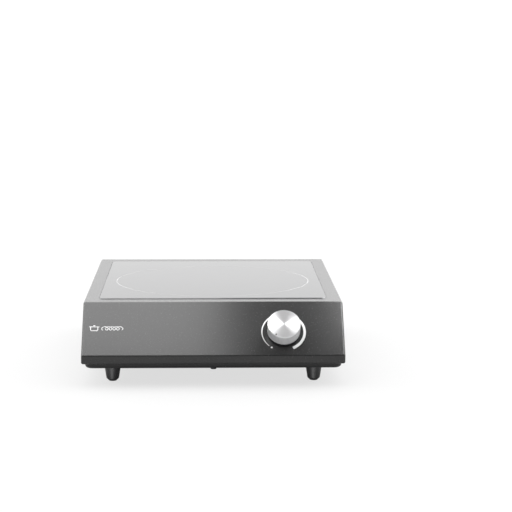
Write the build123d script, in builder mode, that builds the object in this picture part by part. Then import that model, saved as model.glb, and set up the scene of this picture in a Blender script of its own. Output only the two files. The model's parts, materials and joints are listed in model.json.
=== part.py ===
"""Table-top induction hob: folded steel casing with a sloping front panel, glass plate, one power knob.

Millimetres. +X is the user's right, +Y points to the back, +Z is up. The origin is on the glass, above
the centre of the casing's footprint, so the glass lies in z = 0 and the feet stand at z = -overall_h.
"""

import os
from math import hypot

from build123d import *

os.makedirs("parts", exist_ok=True)

# ---------------------------------------------------------------- driving dimensions
body_w = 327.0
body_d = 425.0
overall_h = 100.0  # table top to the glass
foot_h = 23.6  # table top to the underside of the base tray
tray_drop = 6.3  # how far the base tray shows below the casing
front_strip_h = 10.8  # upright strip under the sloping panel
panel_setback = 54.0  # how far the sloping panel leans back
sheet = 1.2
bend_r = 2.5
glass_w, glass_l, glass_t = 290.0, 320.0, 4.0
glass_corner_r = 6.0
glass_proud = 1.0  # glass above the steel rim
glass_front_margin = 22.0
zone_from_front = 165.0  # cooking zone centre behind the panel's top edge
knob_x = 87.6
knob_down_panel = 45.2
knob_r = 20.5
knob_h = 19.0
pointer_angle = 236.0  # off position, measured in the panel plane from +X towards the glass

clear = 0.1  # radial room around a fixed screw or pin
turning = 0.06  # radial room around a turning shaft
hole_room = 0.3  # radial room of a drilled clearance hole

# ---------------------------------------------------------------- derived places
side_x = body_w / 2
front_y, rear_y = -body_d / 2, body_d / 2
table_z = -overall_h
tray_bottom = table_z + foot_h
floor_top = tray_bottom + sheet
casing_bottom = tray_bottom + tray_drop
casing_top = -glass_proud
panel_bottom_z = casing_bottom + front_strip_h
panel_top_y = front_y + panel_setback
panel_rise = casing_top - panel_bottom_z
panel_len = hypot(panel_setback, panel_rise)
zone_y = panel_top_y + zone_from_front

panel_plane = Plane(
    origin=(0, panel_top_y, casing_top),
    x_dir=(1, 0, 0),
    z_dir=(0, -panel_rise / panel_len, panel_setback / panel_len),
)
knob_plane = Plane(
    origin=panel_plane.from_local_coords((knob_x, -knob_down_panel, 0)),
    x_dir=panel_plane.x_dir,
    z_dir=panel_plane.z_dir,
)
rear_plane = Plane(origin=(0, rear_y, 0), x_dir=(-1, 0, 0), z_dir=(0, 1, 0))
zone_plane = Plane(origin=(0, zone_y, 0))


def save(piece, name):
    """Labels a finished piece and writes its STEP file."""
    piece.part.label = name
    export_step(piece.part, f"parts/{name}.step")


def level(z):
    """The horizontal plane at height z."""
    return Plane.XY.offset(z)


def zone_level(z):
    """The horizontal plane at height z with its origin on the coil's axis."""
    return zone_plane.offset(z)


# ---------------------------------------------------------------- shared fastener sizes
m3_r, m4_r, m5_r = 1.45, 1.95, 2.45
pan_head_r, pan_head_h = 3.9, 2.5
small_head = (2.8, 2.0)  # radius and height of the M3 heads
head_dome = 0.55  # rim rounding as a share of the head's height
# cross recess: arm length per head radius, arm width, depth as a share of the head's height
recess_reach, recess_w, recess_depth = 1.1, 0.9, 0.5


def pan_screws(name, points, seat, length, shank_r, side=1, head_r=pan_head_r, head_h=pan_head_h):
    """Saves one node of pan-head screws whose heads bear on the seat plane, on its side +1 or -1."""
    with BuildPart() as screws:
        with BuildSketch(seat):
            with Locations(points):
                Circle(head_r)
        extrude(amount=side * head_h)
        by_height = screws.faces().sort_by(lambda f: side * seat.to_local_coords(f.center()).Z)
        fillet(by_height[-len(points) :].edges(), head_h * head_dome)
        with BuildSketch(seat):
            with Locations(points):
                Circle(shank_r)
        extrude(amount=-side * length)
        with BuildSketch(seat.offset(side * head_h)):
            with Locations(points):
                Rectangle(head_r * recess_reach, recess_w)
                Rectangle(recess_w, head_r * recess_reach)
        extrude(amount=-side * head_h * recess_depth, mode=Mode.SUBTRACT)
    save(screws, name)


# ---------------------------------------------------------------- places of screws and feet
foot_x, foot_y = 127.0, 166.0
foot_points = [(-foot_x, -foot_y), (foot_x, -foot_y), (-foot_x, foot_y), (foot_x, foot_y)]
tray_inset = 4.0
tray_w, tray_d = body_w - 2 * tray_inset, body_d - 2 * tray_inset
tray_screw_in = 10.5  # screw centre from the tray's edge
tray_screw_y = 115.0
tray_edge_x, tray_edge_y = tray_w / 2 - tray_screw_in, tray_d / 2 - tray_screw_in
tray_screw_points = [(0, -tray_edge_y), (0, tray_edge_y)] + [
    (i * tray_edge_x, j * tray_screw_y) for i in (-1, 1) for j in (-1, 1)
]
standoff_r, spigot_r = 4.0, 2.8
coil_ear_x, coil_ear_y = 129.0, 124.5
coil_ear_points = [(0, -coil_ear_y), (0, coil_ear_y), (-coil_ear_x, 0), (coil_ear_x, 0)]
coil_post_points = [(x, y + zone_y) for x, y in coil_ear_points]

# ---------------------------------------------------------------- upper casing
glass_y = panel_top_y + glass_front_margin + glass_l / 2
glass_bottom = -glass_t
seal_gap, seal_t, seal_w = 0.6, 0.5, 7.0
ledge_top = glass_bottom - seal_t
ledge_w = 9.0
seat_rim = seal_gap + sheet
flange_w = 21.0
bush_hole_r = 3.6
cord_x, cord_up = 118.0, 54.0
cord_z = table_z + cord_up
gland_hole_r = 7.0
vent_w, vent_h, vent_pitch, vent_up = 4.0, 30.0, 9.0, 66.0
vent_z = table_z + vent_up
rear_vents, side_vents = 21, 12
rear_vent_x, side_vent_y = -18.0, 60.0

with BuildPart() as upper_casing:
    with BuildSketch(Plane.YZ):
        with BuildLine():
            Polyline(
                (front_y, casing_bottom),
                (front_y, panel_bottom_z),
                (panel_top_y, casing_top),
                (rear_y, casing_top),
                (rear_y, casing_bottom),
                close=True,
            )
        make_face()
    extrude(amount=side_x, both=True)
    fillet(upper_casing.edges(), bend_r)
    offset(amount=-sheet, mode=Mode.SUBTRACT)
    # open bottom inside the return flange, with the spigot holes
    with BuildSketch(level(casing_bottom)):
        Rectangle(body_w - 2 * flange_w, body_d - 2 * flange_w)
        with Locations(tray_screw_points):
            Circle(spigot_r + clear)
    extrude(amount=sheet, mode=Mode.SUBTRACT)
    # sunk seat that the glass lies on
    with BuildSketch(level(ledge_top - sheet)):
        with Locations((0, glass_y)):
            RectangleRounded(glass_w + 2 * seat_rim, glass_l + 2 * seat_rim, glass_corner_r + seat_rim)
    extrude(amount=casing_top - sheet / 2 - ledge_top + sheet)
    with BuildSketch(level(ledge_top)):
        with Locations((0, glass_y)):
            RectangleRounded(glass_w + 2 * seal_gap, glass_l + 2 * seal_gap, glass_corner_r + seal_gap)
    extrude(amount=2 * glass_t, mode=Mode.SUBTRACT)
    with BuildSketch(level(ledge_top - sheet)):
        with Locations((0, glass_y)):
            RectangleRounded(glass_w - 2 * ledge_w, glass_l - 2 * ledge_w, glass_corner_r)
    extrude(amount=2 * sheet, mode=Mode.SUBTRACT)
    # knob bushing hole
    with BuildSketch(knob_plane):
        Circle(bush_hole_r)
    extrude(amount=-2 * sheet, mode=Mode.SUBTRACT)
    # cooling air outlets and the cord hole
    with BuildSketch(rear_plane):
        with Locations((-rear_vent_x, vent_z)):
            with GridLocations(vent_pitch, 0, rear_vents, 1):
                SlotOverall(vent_h, vent_w, rotation=90)
        with Locations((-cord_x, cord_z)):
            Circle(gland_hole_r)
    extrude(amount=-2 * sheet, mode=Mode.SUBTRACT)
    with BuildSketch(Plane.YZ.offset(-side_x)):
        with Locations((side_vent_y, vent_z)):
            with GridLocations(vent_pitch, 0, side_vents, 1):
                SlotOverall(vent_h, vent_w, rotation=90)
    extrude(amount=body_w, mode=Mode.SUBTRACT)
save(upper_casing, "upper_casing")

# ---------------------------------------------------------------- glass and its silicone seal
glass_edge, seal_below_rim = 0.7, 0.3
with BuildPart() as glass_plate:
    with BuildSketch(level(glass_bottom)):
        with Locations((0, glass_y)):
            RectangleRounded(glass_w, glass_l, glass_corner_r)
    extrude(amount=glass_t)
    chamfer(glass_plate.faces().sort_by(Axis.Z)[-1].edges(), glass_edge)
save(glass_plate, "glass_plate")

with BuildPart() as glass_seal:
    with BuildSketch(level(ledge_top)):
        with Locations((0, glass_y)):
            RectangleRounded(glass_w + 2 * seal_gap, glass_l + 2 * seal_gap, glass_corner_r + seal_gap)
            RectangleRounded(glass_w - 2 * seal_w, glass_l - 2 * seal_w, glass_corner_r, mode=Mode.SUBTRACT)
    extrude(amount=seal_t)
    with BuildSketch(level(glass_bottom)):
        with Locations((0, glass_y)):
            RectangleRounded(glass_w + 2 * seal_gap, glass_l + 2 * seal_gap, glass_corner_r + seal_gap)
            RectangleRounded(glass_w, glass_l, glass_corner_r, mode=Mode.SUBTRACT)
    extrude(amount=casing_top - seal_below_rim - glass_bottom)
save(glass_seal, "glass_seal")

# ---------------------------------------------------------------- fan place, shared by tray and fan
fan_x, fan_y = -82.0, -96.0
fan_side, fan_t, fan_bore_r, fan_corner_r = 119.0, 25.4, 57.0, 6.0
fan_screw_pitch = 105.0
fan_screw_points = [
    (fan_x + i * fan_screw_pitch / 2, fan_y + j * fan_screw_pitch / 2) for i in (-1, 1) for j in (-1, 1)
]

# ---------------------------------------------------------------- power board place
board_x, board_y, board_w, board_l, board_t = 51.0, 5.0, 140.0, 226.0, 1.6
board_lift, board_post_in = 6.8, 6.0
board_bottom = floor_top + board_lift
board_top = board_bottom + board_t
board_post_points = [
    (board_x + i * (board_w / 2 - board_post_in), board_y + j * (board_l / 2 - board_post_in))
    for i in (-1, 1)
    for j in (-1, 0, 1)
]

# ---------------------------------------------------------------- base tray
tray_corner_r, tray_bend_r = 10.0, 4.5
grille_rings, grille_slot, grille_step, grille_first_r = 5, 4.6, 8.6, 14.0
grille_spoke, grille_turn = 7.0, 45
intake_w, intake_h, intake_pitch_x, intake_pitch_y, intake_rows = 38.0, 4.0, 48.0, 9.0, 16
m4_hole_r = 2.2
with BuildPart() as base_tray:
    with BuildSketch(level(tray_bottom)):
        RectangleRounded(tray_w, tray_d, tray_corner_r)
    extrude(amount=tray_drop)
    fillet(base_tray.faces().sort_by(Axis.Z)[0].edges(), tray_bend_r)
    offset(amount=-sheet, openings=base_tray.faces().sort_by(Axis.Z)[-1])
    # air intake rings under the fan, held together by four spokes
    with BuildSketch(level(tray_bottom)):
        with Locations((fan_x, fan_y)):
            for ring in reversed(range(grille_rings)):
                ring_r = grille_first_r + ring * grille_step
                Circle(ring_r + grille_slot / 2)
                Circle(ring_r - grille_slot / 2, mode=Mode.SUBTRACT)
            for turn in (grille_turn, grille_turn + 90):
                Rectangle(2 * fan_bore_r, grille_spoke, rotation=turn, mode=Mode.SUBTRACT)
    extrude(amount=2 * sheet, mode=Mode.SUBTRACT)
    # second intake under the power board
    with BuildSketch(level(tray_bottom)):
        with Locations((board_x, board_y)):
            with GridLocations(intake_pitch_x, intake_pitch_y, 2, intake_rows):
                SlotOverall(intake_w, intake_h)
    extrude(amount=2 * sheet, mode=Mode.SUBTRACT)
    # screw and stud holes
    with BuildSketch(level(tray_bottom)):
        with Locations(tray_screw_points + board_post_points + coil_post_points + fan_screw_points):
            Circle(m4_hole_r)
        with Locations(foot_points):
            Circle(m5_r + hole_room)
    extrude(amount=2 * sheet, mode=Mode.SUBTRACT)
save(base_tray, "base_tray")

with BuildPart() as tray_standoffs:
    with BuildSketch(level(floor_top)):
        with Locations(tray_screw_points):
            Circle(standoff_r)
    extrude(amount=casing_bottom - floor_top)
    with BuildSketch(level(casing_bottom)):
        with Locations(tray_screw_points):
            Circle(spigot_r)
    extrude(amount=sheet)
    with BuildSketch(level(floor_top)):
        with Locations(tray_screw_points):
            Circle(m4_r + clear)
    extrude(amount=tray_drop, mode=Mode.SUBTRACT)
save(tray_standoffs, "tray_standoffs")

pan_screws("tray_screws", tray_screw_points, level(tray_bottom), tray_drop, m4_r, side=-1)

# ---------------------------------------------------------------- feet
foot_top_r, foot_low_r, foot_pad_r, foot_low_h = 11.0, 7.9, 4.6, 3.3
foot_top_edge, foot_shoulder_r, foot_pad_edge = 0.8, 1.2, 0.5
stud_depth, stud_gap, stud_beyond_nut = 10.0, 0.2, 1.5
foot_names = ["foot_front_left", "foot_front_right", "foot_rear_left", "foot_rear_right"]
for name, (x, y) in zip(foot_names, foot_points):
    with BuildPart() as foot:
        with BuildSketch(Plane(origin=(x, y, table_z), x_dir=(1, 0, 0), z_dir=(0, -1, 0))):
            with BuildLine():
                Polyline(
                    (0, 0),
                    (foot_pad_r, 0),
                    (foot_low_r, foot_low_h),
                    (foot_top_r, foot_h),
                    (0, foot_h),
                    close=True,
                )
            make_face()
        revolve(axis=Axis((x, y, table_z), (0, 0, 1)))
        pad_edge, shoulder_edge, top_edge = foot.edges().filter_by(GeomType.CIRCLE).sort_by(Axis.Z)
        fillet(pad_edge, foot_pad_edge)
        fillet(shoulder_edge, foot_shoulder_r)
        fillet(top_edge, foot_top_edge)
        with BuildSketch(level(tray_bottom)):
            with Locations((x, y)):
                Circle(m5_r + clear)
        extrude(amount=-stud_depth, mode=Mode.SUBTRACT)
    save(foot, name)

foot_nut_h, m5_nut_r = 5.0, 4.0
with BuildPart() as foot_studs:
    with BuildSketch(level(tray_bottom - stud_depth + stud_gap)):
        with Locations(foot_points):
            Circle(m5_r)
    extrude(amount=stud_depth + sheet + foot_nut_h + stud_beyond_nut)
save(foot_studs, "foot_studs")

with BuildPart() as foot_nuts:
    with BuildSketch(level(floor_top)):
        with Locations(foot_points):
            RegularPolygon(m5_nut_r, 6, major_radius=False)
            Circle(m5_r + clear, mode=Mode.SUBTRACT)
    extrude(amount=foot_nut_h)
save(foot_nuts, "foot_nuts")

# ---------------------------------------------------------------- cooling fan
fan_bottom = floor_top
fan_flange_t, fan_web, motor_plate_r, spoke_w, spoke_turn = 4.0, 3.0, 20.0, 5.0, 20
fan_tube_r, fan_tube_wall, fan_tube_h, fan_shaft_r = 5.0, 1.5, 19.4, 1.5
bearing_lift, shaft_lift = 2.0, 2.5
with BuildPart() as fan_frame:
    with BuildSketch(level(fan_bottom), level(fan_bottom + fan_t - fan_flange_t)):
        with Locations((fan_x, fan_y)):
            RectangleRounded(fan_side, fan_side, fan_corner_r)
        with Locations(fan_screw_points):
            Circle(m4_r + clear, mode=Mode.SUBTRACT)
    extrude(amount=fan_flange_t)
    with BuildSketch(level(fan_bottom)):
        with Locations((fan_x, fan_y)):
            Circle(fan_side / 2)
    extrude(amount=fan_t)
    with BuildSketch(level(fan_bottom)):
        with Locations((fan_x, fan_y)):
            Circle(fan_bore_r)
    extrude(amount=fan_t, mode=Mode.SUBTRACT)
    # motor plate on four spokes, with the bearing tube
    with BuildSketch(level(fan_bottom)):
        with Locations((fan_x, fan_y)):
            for turn in (spoke_turn, spoke_turn + 90):
                Rectangle(fan_bore_r + fan_side / 2, spoke_w, rotation=turn)
            Circle(motor_plate_r)
    extrude(amount=fan_web)
    with BuildSketch(level(fan_bottom)):
        with Locations((fan_x, fan_y)):
            Circle(fan_tube_r)
    extrude(amount=fan_tube_h)
    with BuildSketch(level(fan_bottom + bearing_lift)):
        with Locations((fan_x, fan_y)):
            Circle(fan_tube_r - fan_tube_wall)
    extrude(amount=fan_t, mode=Mode.SUBTRACT)
save(fan_frame, "fan_frame")

with BuildPart() as fan_bearing:
    with BuildSketch(level(fan_bottom + bearing_lift)):
        with Locations((fan_x, fan_y)):
            Circle(fan_tube_r - fan_tube_wall)
            Circle(fan_shaft_r + turning, mode=Mode.SUBTRACT)
    extrude(amount=fan_tube_h - bearing_lift)
save(fan_bearing, "fan_bearing")

stator_lift, stator_h, stator_r, pole_slot_l, pole_slot_w = 6.0, 11.0, 15.0, 14.0, 3.5
with BuildPart() as fan_stator:
    with BuildSketch(level(fan_bottom + stator_lift)):
        with Locations((fan_x, fan_y)):
            Circle(stator_r)
            with PolarLocations(stator_r, 4):
                Rectangle(pole_slot_l, pole_slot_w, mode=Mode.SUBTRACT)
            Circle(fan_tube_r, mode=Mode.SUBTRACT)
    extrude(amount=stator_h)
save(fan_stator, "fan_stator")

fan_nut_h, m4_nut_r, screw_beyond_nut = 3.2, 3.5, 1.8
fan_screw_l = sheet + fan_flange_t + fan_nut_h + screw_beyond_nut
pan_screws("fan_screws", fan_screw_points, level(tray_bottom), fan_screw_l, m4_r, side=-1)

with BuildPart() as fan_nuts:
    with BuildSketch(level(fan_bottom + fan_flange_t)):
        with Locations(fan_screw_points):
            RegularPolygon(m4_nut_r, 6, major_radius=False)
            Circle(m4_r + clear, mode=Mode.SUBTRACT)
    extrude(amount=fan_nut_h)
save(fan_nuts, "fan_nuts")

hub_r, hub_wall, hub_lift, hub_h, hub_edge = 19.5, 1.5, 4.2, 20.0, 1.0
hub_bottom = fan_bottom + hub_lift
blade_tip_r, blade_count, blade_t = 55.8, 7, 1.6
root_chord, root_pitch, tip_chord, tip_pitch, tip_sweep = 22.0, 48, 32.0, 30, 8.0
blade_root_in, blade_past_tip = 0.8, 4.0
magnet_t = 1.6
with BuildPart() as fan_blade:
    blade_mid = hub_bottom + hub_h / 2
    root_at = (hub_r - blade_root_in, 0, blade_mid)
    tip_at = (blade_tip_r + blade_past_tip, tip_sweep, blade_mid)
    with BuildSketch(Plane(origin=root_at, x_dir=(0, 1, 0), z_dir=(1, 0, 0))):
        SlotOverall(root_chord, blade_t, rotation=root_pitch)
    with BuildSketch(Plane(origin=tip_at, x_dir=(0, 1, 0), z_dir=(1, 0, 0))):
        SlotOverall(tip_chord, blade_t, rotation=tip_pitch)
    loft()
    with BuildSketch(level(fan_bottom)):
        Circle(blade_tip_r)
    extrude(amount=fan_t, mode=Mode.INTERSECT)

with BuildPart() as fan_rotor:
    with Locations((fan_x, fan_y)):
        with PolarLocations(0, blade_count):
            add(fan_blade.part)
    with BuildSketch(level(hub_bottom)):
        with Locations((fan_x, fan_y)):
            Circle(hub_r)
    extrude(amount=hub_h)
    with BuildSketch(level(hub_bottom)):
        with Locations((fan_x, fan_y)):
            Circle(hub_r - hub_wall)
    extrude(amount=hub_h - hub_wall, mode=Mode.SUBTRACT)
    with BuildSketch(level(hub_bottom)):
        with Locations((fan_x, fan_y)):
            Circle(fan_shaft_r)
    extrude(amount=hub_h, mode=Mode.SUBTRACT)
    fillet(fan_rotor.faces().sort_by(Axis.Z)[-1].outer_wire().edges(), hub_edge)
save(fan_rotor, "fan_rotor")

with BuildPart() as fan_magnet:
    with BuildSketch(level(fan_bottom + stator_lift)):
        with Locations((fan_x, fan_y)):
            Circle(hub_r - hub_wall)
            Circle(hub_r - hub_wall - magnet_t, mode=Mode.SUBTRACT)
    extrude(amount=stator_h)
save(fan_magnet, "fan_magnet")

with BuildPart() as fan_shaft:
    with BuildSketch(level(fan_bottom + shaft_lift)):
        with Locations((fan_x, fan_y)):
            Circle(fan_shaft_r)
    extrude(amount=hub_lift + hub_h - shaft_lift)
save(fan_shaft, "fan_shaft")

# hood that turns the fan's air sideways over the heat sink
hood_t, hood_h, hood_bend_r, mouth_cheek, mouth_depth = 1.8, 20.0, 4.0, 8.0, 12.0
hood_bottom = fan_bottom + fan_t
with BuildPart() as air_guide:
    with BuildSketch(level(hood_bottom)):
        with Locations((fan_x, fan_y)):
            RectangleRounded(fan_side, fan_side, fan_corner_r)
    extrude(amount=hood_h)
    fillet(air_guide.faces().sort_by(Axis.Z)[-1].edges(), hood_bend_r)
    offset(amount=-hood_t, openings=air_guide.faces().sort_by(Axis.Z)[0])
    with BuildSketch(Plane.YZ.offset(fan_x + fan_side / 2)):
        with Locations((fan_y, hood_bottom + hood_h / 2 - hood_t)):
            Rectangle(fan_side - 2 * mouth_cheek, hood_h)
    extrude(amount=-mouth_depth, mode=Mode.SUBTRACT)
save(air_guide, "air_guide")

# ---------------------------------------------------------------- induction coil on its sprung plate
felt_t, felt_beyond, felt_hole_r = 1.5, 6.0, 9.0
wire_r, turn_pitch, first_turn_r, half_turns = 2.0, 4.6, 30.0, 34
wire_z = glass_bottom - felt_t - wire_r
coil_outer_r = first_turn_r + half_turns * turn_pitch / 2 + wire_r
carrier_t, carrier_beyond, carrier_hole_r = 3.0, 4.0, 22.0
ferrite_t, ferrite_l, ferrite_w, ferrite_r, ferrite_edge = 6.0, 60.0, 12.0, 70.0, 1.0
window_r, window_l, coil_windows = 75.0, 60.0, 8
plate_t, plate_below, plate_hole_r = 1.5, 2.0, 9.0
carrier_bottom = wire_z - wire_r - carrier_t
ferrite_bottom = carrier_bottom - ferrite_t
plate_bottom = ferrite_bottom - plate_t
plate_top = ferrite_bottom
inner_lead, outer_lead = (24.0, -12.0), (114.5, 15.0)
inner_lead_way, outer_lead_way = (28.0, -6.0), (111.5, 8.0)  # where each lead turns up through the carrier
lead_window_r, plate_lead_r = 6.0, 4.0

with BuildPart() as insulation_felt:
    with BuildSketch(zone_level(glass_bottom - felt_t)):
        Circle(coil_outer_r + felt_beyond)
        Circle(felt_hole_r, mode=Mode.SUBTRACT)
    extrude(amount=felt_t)
save(insulation_felt, "insulation_felt")

with BuildPart() as coil_winding:
    with BuildLine(zone_level(wire_z)) as turns:
        coil_end_x = first_turn_r
        for half in range(half_turns):
            side = 1 if half % 2 == 0 else -1
            arc_r = first_turn_r + half * turn_pitch / 2
            arc_start_x = coil_end_x
            coil_end_x = arc_start_x - 2 * side * arc_r
            ThreePointArc((arc_start_x, 0), (arc_start_x - side * arc_r, side * arc_r), (coil_end_x, 0))
    with BuildSketch(Plane(origin=(first_turn_r, zone_y, wire_z), x_dir=(1, 0, 0), z_dir=(0, 1, 0))):
        Circle(wire_r)
    sweep(path=turns.wires()[0])
save(coil_winding, "coil_winding")

with BuildPart() as coil_carrier:
    with BuildSketch(zone_level(carrier_bottom)):
        Circle(coil_outer_r + carrier_beyond)
        Circle(carrier_hole_r, mode=Mode.SUBTRACT)
        with PolarLocations(window_r, coil_windows):
            SlotOverall(window_l, ferrite_w, mode=Mode.SUBTRACT)
        with Locations(inner_lead, inner_lead_way, outer_lead, outer_lead_way):
            Circle(lead_window_r, mode=Mode.SUBTRACT)
    extrude(amount=carrier_t)
save(coil_carrier, "coil_carrier")

with BuildPart() as ferrite_bars:
    with BuildSketch(zone_level(ferrite_bottom)):
        with PolarLocations(ferrite_r, coil_windows, start_angle=180 / coil_windows):
            Rectangle(ferrite_l, ferrite_w)
    extrude(amount=ferrite_t)
    chamfer(ferrite_bars.edges().filter_by(Axis.Z), ferrite_edge)
save(ferrite_bars, "ferrite_bars")

ear_w, post_r, pin_r, spring_h, pin_beyond, post_hole = 16.0, 4.5, 2.5, 12.0, 6.0, 12.0
post_top, pin_top = plate_bottom - spring_h, plate_top + pin_beyond
with BuildPart() as coil_plate:
    with BuildSketch(zone_level(plate_bottom)):
        Circle(coil_outer_r - plate_below)
        Rectangle(2 * coil_ear_x, ear_w)
        Rectangle(ear_w, 2 * coil_ear_y)
        with Locations(coil_ear_points):
            Circle(ear_w / 2)
            Circle(pin_r + hole_room, mode=Mode.SUBTRACT)
        with Locations(inner_lead):
            Circle(plate_lead_r, mode=Mode.SUBTRACT)
        with PolarLocations(ferrite_r, coil_windows):
            Circle(plate_hole_r, mode=Mode.SUBTRACT)
    extrude(amount=plate_t)
save(coil_plate, "coil_plate")

with BuildPart() as coil_posts:
    with BuildSketch(zone_level(floor_top)):
        with Locations(coil_ear_points):
            RegularPolygon(post_r, 6)
    extrude(amount=post_top - floor_top)
    with BuildSketch(zone_level(post_top)):
        with Locations(coil_ear_points):
            Circle(pin_r)
    extrude(amount=pin_top - post_top)
    with BuildSketch(zone_level(floor_top)):
        with Locations(coil_ear_points):
            Circle(m4_r + clear)
    extrude(amount=post_hole, mode=Mode.SUBTRACT)
save(coil_posts, "coil_posts")

post_screw_l = post_hole - sheet
pan_screws("coil_post_screws", coil_post_points, level(tray_bottom), post_screw_l, m4_r, side=-1)


def springs(name, points, bottom, top, coil_r, spring_wire_r, spring_turns):
    """Saves one node of round-wire compression springs standing at the points, on the coil's plate."""
    height = top - bottom - 2 * spring_wire_r
    with BuildPart() as spring:
        with BuildLine() as helix:
            Helix(height / spring_turns, height, coil_r)
        with BuildSketch(Plane(origin=helix.line @ 0, z_dir=helix.line % 0)):
            Circle(spring_wire_r)
        sweep(path=helix.wires()[0], is_frenet=True)
    with BuildPart() as all_springs:
        with Locations([(x, y + zone_y, bottom + spring_wire_r) for x, y in points]):
            add(spring.part)
    save(all_springs, name)


spring_room, plate_wire_r, plate_turns = 1.1, 0.5, 5
sensor_h, sensor_r, sensor_edge = 3.0, 6.5, 0.5
sensor_coil_r, sensor_wire_r, sensor_turns = 4.5, 0.4, 5
plate_coil_r, sensor_bottom = pin_r + spring_room, glass_bottom - sensor_h
springs("coil_springs", coil_ear_points, post_top, plate_bottom, plate_coil_r, plate_wire_r, plate_turns)
springs("sensor_spring", [(0, 0)], plate_top, sensor_bottom, sensor_coil_r, sensor_wire_r, sensor_turns)

with BuildPart() as temperature_sensor:
    with BuildSketch(zone_level(sensor_bottom)):
        Circle(sensor_r)
    extrude(amount=sensor_h)
    chamfer(temperature_sensor.faces().sort_by(Axis.Z)[-1].edges(), sensor_edge)
save(temperature_sensor, "temperature_sensor")

# ---------------------------------------------------------------- power board
board_corner_r, board_post_r, post_thread_depth, board_screw_grip = 3.0, 4.0, 5.0, 4.0
with BuildPart() as power_board:
    with BuildSketch(level(board_bottom)):
        with Locations((board_x, board_y)):
            RectangleRounded(board_w, board_l, board_corner_r)
        with Locations(board_post_points):
            Circle(m4_r + hole_room, mode=Mode.SUBTRACT)
    extrude(amount=board_t)
save(power_board, "power_board")

with BuildPart() as board_posts:
    with BuildSketch(level(floor_top)):
        with Locations(board_post_points):
            RegularPolygon(board_post_r, 6)
    extrude(amount=board_bottom - floor_top)
    with BuildSketch(level(tray_bottom)):
        with Locations(board_post_points):
            Circle(m4_hole_r - clear)
    extrude(amount=sheet)
    with BuildSketch(level(board_bottom)):
        with Locations(board_post_points):
            Circle(m4_r + clear)
    extrude(amount=-post_thread_depth, mode=Mode.SUBTRACT)
save(board_posts, "board_posts")

pan_screws("board_screws", board_post_points, level(board_top), board_t + board_screw_grip, m4_r)

# ---------------------------------------------------------------- heat sink and the chips under it
sink_x, sink_y, sink_l, sink_w = board_x + 1, -72.0, 108.0, 60.0
sink_lift, sink_base_t, sink_h, leg_t, fin_count, fin_t = 8.4, 5.0, 36.0, 2.5, 12, 1.6
sink_base_z, sink_top = board_top + sink_lift, board_top + sink_h
fin_pitch = (sink_w - fin_t) / (fin_count - 1)
chip_hole_depth, chip_thread = 4.0, 3.5
chip_w, chip_l, chip_t, chip_pitch, chip_count, chip_front = 16.0, 21.0, 5.0, 26.0, 4, 8.0
chip_start_x = sink_x - (chip_count - 1) / 2 * chip_pitch
chip_points = [(chip_start_x + i * chip_pitch, sink_y - chip_front) for i in range(chip_count)]
chip_hole_back = 2.0
chip_hole_points = [(x, y + chip_hole_back) for x, y in chip_points]
with BuildPart() as heat_sink:
    with BuildSketch(Plane.YZ.offset(sink_x - sink_l / 2)):
        with Locations((sink_y, sink_base_z + sink_base_t / 2)):
            Rectangle(sink_w, sink_base_t)
        with Locations((sink_y, (sink_base_z + board_top) / 2)):
            with GridLocations(sink_w - leg_t, 0, 2, 1):
                Rectangle(leg_t, sink_base_z - board_top)
        with Locations((sink_y, (sink_base_z + sink_top) / 2)):
            with GridLocations(fin_pitch, 0, fin_count, 1):
                Rectangle(fin_t, sink_top - sink_base_z)
    extrude(amount=sink_l)
    with BuildSketch(level(sink_base_z)):
        with Locations(chip_hole_points):
            Circle(m3_r + clear)
    extrude(amount=chip_hole_depth, mode=Mode.SUBTRACT)
save(heat_sink, "heat_sink")

lead_pitch, lead_reach, lead_w, lead_t, lead_up = 5.4, 4.0, 1.2, 0.7, 1.6
lead_z = sink_base_z - chip_t + lead_up
with BuildPart() as power_transistors:
    with BuildSketch(level(sink_base_z - chip_t)):
        with Locations(chip_points):
            Rectangle(chip_w, chip_l)
        with Locations(chip_hole_points):
            Circle(m3_r + hole_room, mode=Mode.SUBTRACT)
    extrude(amount=chip_t)
    # three bent legs down to the board on each package
    with BuildSketch(level(board_top)):
        for x, y in chip_points:
            with Locations((x, y - chip_l / 2 - lead_reach + lead_t / 2)):
                with GridLocations(lead_pitch, 0, 3, 1):
                    Rectangle(lead_w, lead_t)
    extrude(amount=lead_z - board_top)
    with BuildSketch(level(lead_z)):
        for x, y in chip_points:
            with Locations((x, y - (chip_l + lead_reach) / 2)):
                with GridLocations(lead_pitch, 0, 3, 1):
                    Rectangle(lead_w, lead_reach)
    extrude(amount=lead_t)
save(power_transistors, "power_transistors")

chip_seat, chip_screw_l = level(sink_base_z - chip_t), chip_t + chip_thread
pan_screws("transistor_screws", chip_hole_points, chip_seat, chip_screw_l, m3_r, -1, *small_head)

bridge_w, bridge_l, bridge_back = 30.0, 16.0, 18.0
with BuildPart() as bridge_rectifier:
    with BuildSketch(level(sink_base_z - chip_t)):
        with Locations((sink_x, sink_y + bridge_back)):
            RectangleRounded(bridge_w, bridge_l, 1)
    extrude(amount=chip_t)
save(bridge_rectifier, "bridge_rectifier")

# ---------------------------------------------------------------- parts soldered to the board
film_l, film_edge = 44.0, 0.8
filter_cap_w, filter_cap_h, resonant_cap_w, resonant_cap_h = 24.0, 34.0, 18.0, 32.0
filter_cap_points, resonant_cap_points = [(30, 50), (30, 78)], [(66, -26), (66, -4)]
with BuildPart() as film_capacitors:
    with BuildSketch(level(board_top)):
        with Locations(filter_cap_points):
            RectangleRounded(film_l, filter_cap_w, 1)
    extrude(amount=filter_cap_h)
    with BuildSketch(level(board_top)):
        with Locations(resonant_cap_points):
            RectangleRounded(film_l, resonant_cap_w, 1)
    extrude(amount=resonant_cap_h)
    tops = film_capacitors.faces().filter_by(Axis.Z).filter_by(lambda f: f.center().Z > board_top + 1)
    fillet(tops.edges(), film_edge)
save(film_capacitors, "film_capacitors")

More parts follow.
